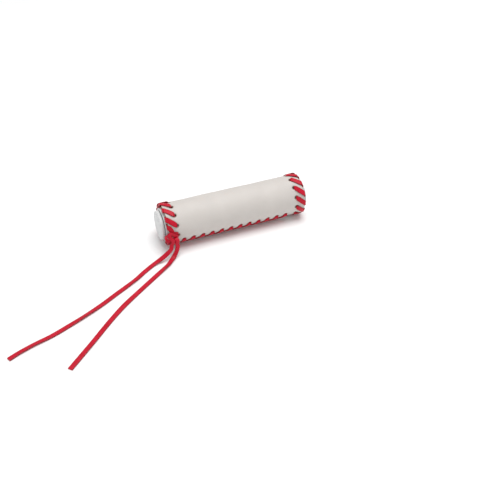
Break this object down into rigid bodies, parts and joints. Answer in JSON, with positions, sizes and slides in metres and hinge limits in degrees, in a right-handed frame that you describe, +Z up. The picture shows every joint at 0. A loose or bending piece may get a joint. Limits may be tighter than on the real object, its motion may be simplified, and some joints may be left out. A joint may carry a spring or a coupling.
{
  "type": "laced bicycle handlebar grip",
  "caption": "Leather-wrapped tubular bicycle grip, whip-laced at both rims and along its seam, with an end plug and two long loose lace tails.",
  "frame": {"origin": "on the floor under the middle of the grip, which lies on its side", "axes": "+X along the grip from its closed outboard end to its open inboard end, +Z up, the lace tails towards -X and -Y"},
  "size_m": [0.2758, 0.1375, 0.038],
  "materials": {
    "moulded_plastic": "white moulded plastic, satin",
    "foam": "grey closed-cell foam, matt",
    "leather": "cream smooth leather with a fine grain",
    "lace": "bright red flat lace with a soft gloss"
  },
  "bodies": {
    "grip": {"core_tube": "moulded_plastic", "foam_padding": "foam", "leather_sleeve": "leather", "outboard_rim_lace": "lace", "inboard_rim_lace": "lace", "seam_lace": "lace", "lace_knot": "lace", "long_lace_tail": "lace", "short_lace_tail": "lace"},
    "end_cap": {"end_cap": "moulded_plastic"}
  },
  "joints": [
    {"name": "end_cap_pull", "type": "slide", "parent": "grip", "child": "end_cap", "axis": [-1, 0, 0], "range_m": [0, 0.02]}
  ]
}
